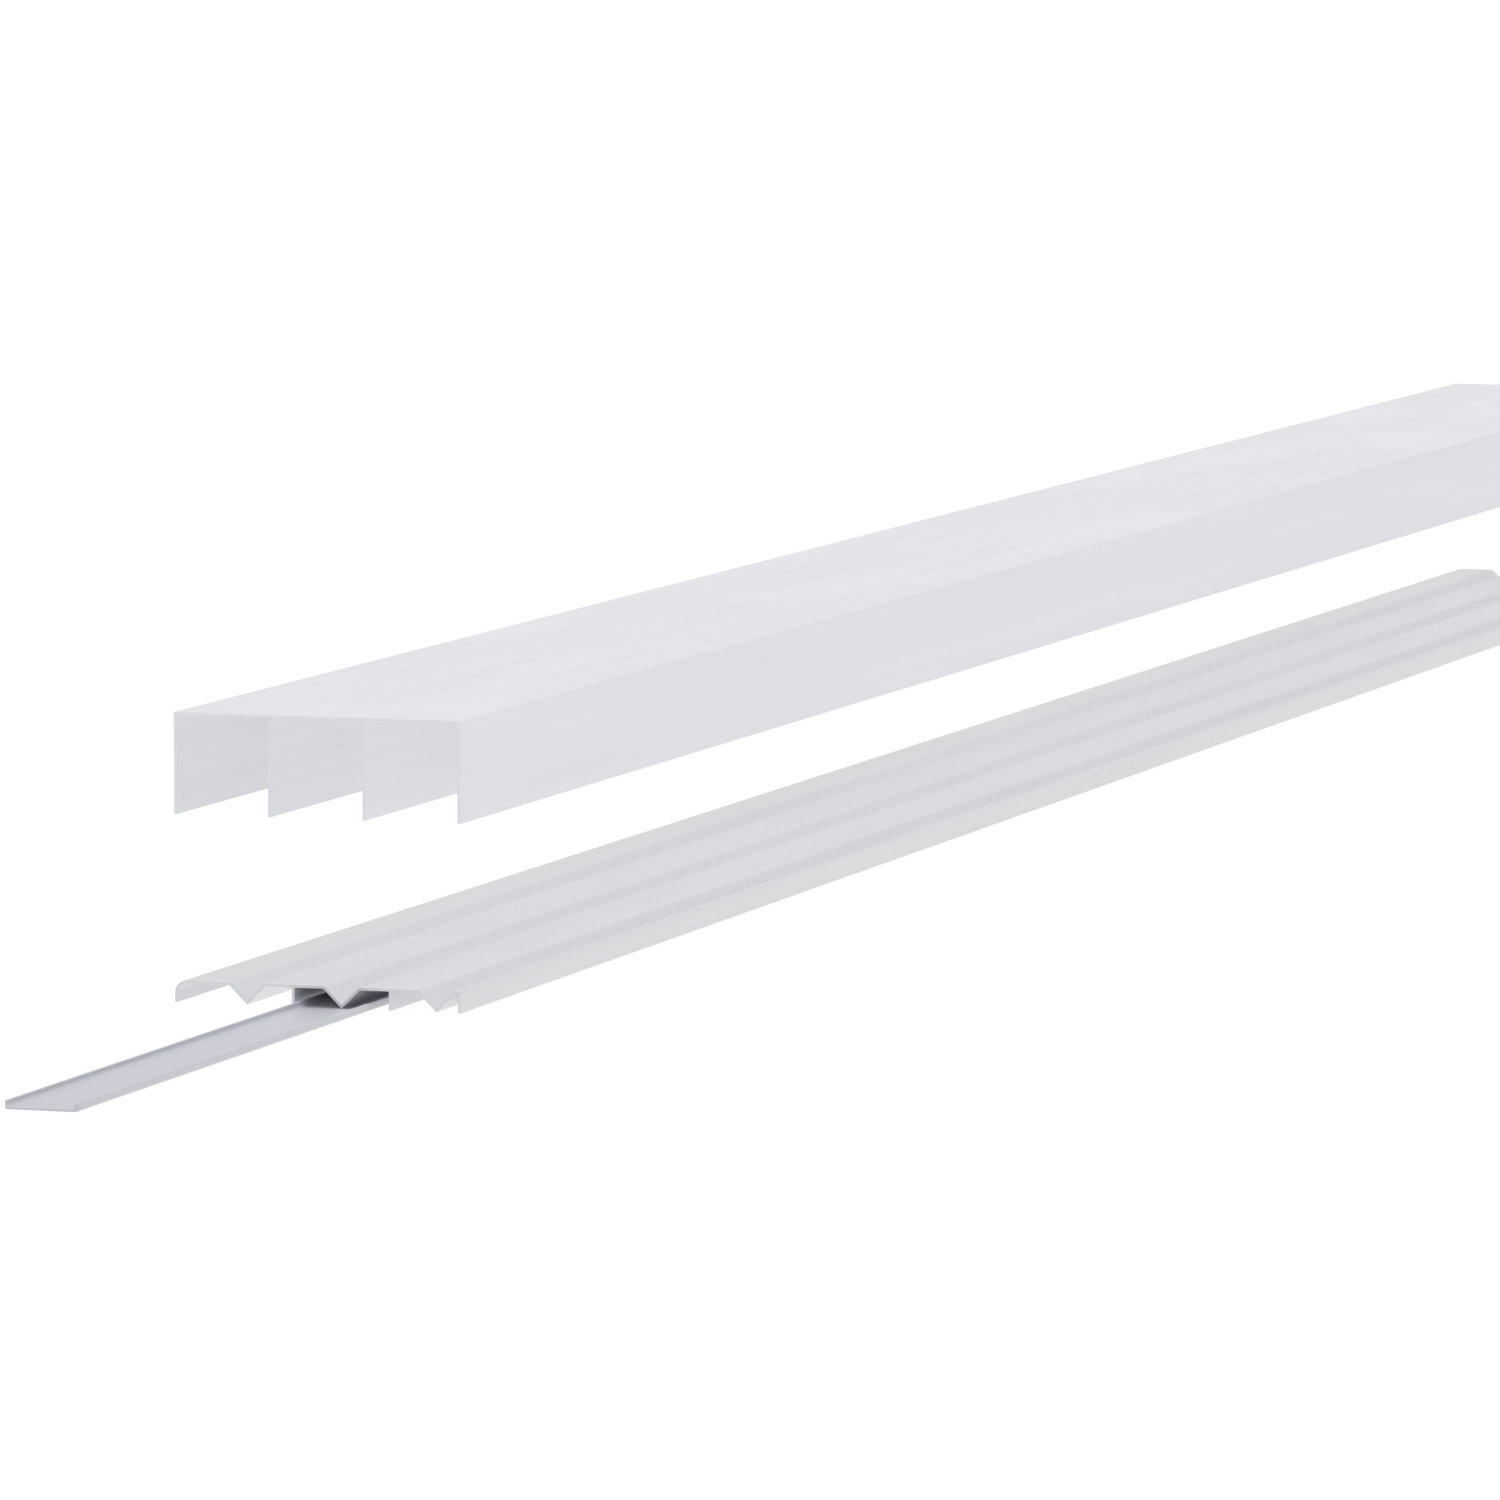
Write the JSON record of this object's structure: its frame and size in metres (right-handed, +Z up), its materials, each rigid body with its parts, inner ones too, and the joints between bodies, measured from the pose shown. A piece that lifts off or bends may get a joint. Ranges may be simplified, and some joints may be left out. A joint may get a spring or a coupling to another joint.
{
  "type": "three-track sliding door track set",
  "caption": "Top guide with deep channels over a low rail with V grooves, for bypassing sliding doors, with a floor fixing strip drawn part way out of the rail.",
  "frame": {"origin": "on the floor, under the middle of the bottom rail", "axes": "+Z up; Y along the tracks, with the fixing strip drawn out of the -Y end; +X across them, towards the side where a V groove lies closest to the rail's edge"},
  "size_m": [0.118, 2.304, 0.1145],
  "materials": {
    "guide_coat": "white satin powder coat on extruded aluminium",
    "rail_coat": "white satin powder coat on extruded aluminium",
    "strip_coat": "pale grey satin coat on extruded aluminium",
    "tape": "pale grey foam mounting tape"
  },
  "bodies": {
    "rail": {"bottom_rail": "rail_coat"},
    "strip": {"fixing_strip": "strip_coat", "adhesive_tape": "tape"},
    "guide": {"top_guide": "guide_coat"}
  },
  "joints": [
    {"name": "strip_slide", "type": "slide", "parent": "rail", "child": "strip", "axis": [0, -1, 0], "range_m": [-0.304, 1.696]},
    {"name": "guide_height", "type": "slide", "parent": "rail", "child": "guide", "axis": [0, 0, 1], "range_m": [0, 2.3855]}
  ]
}
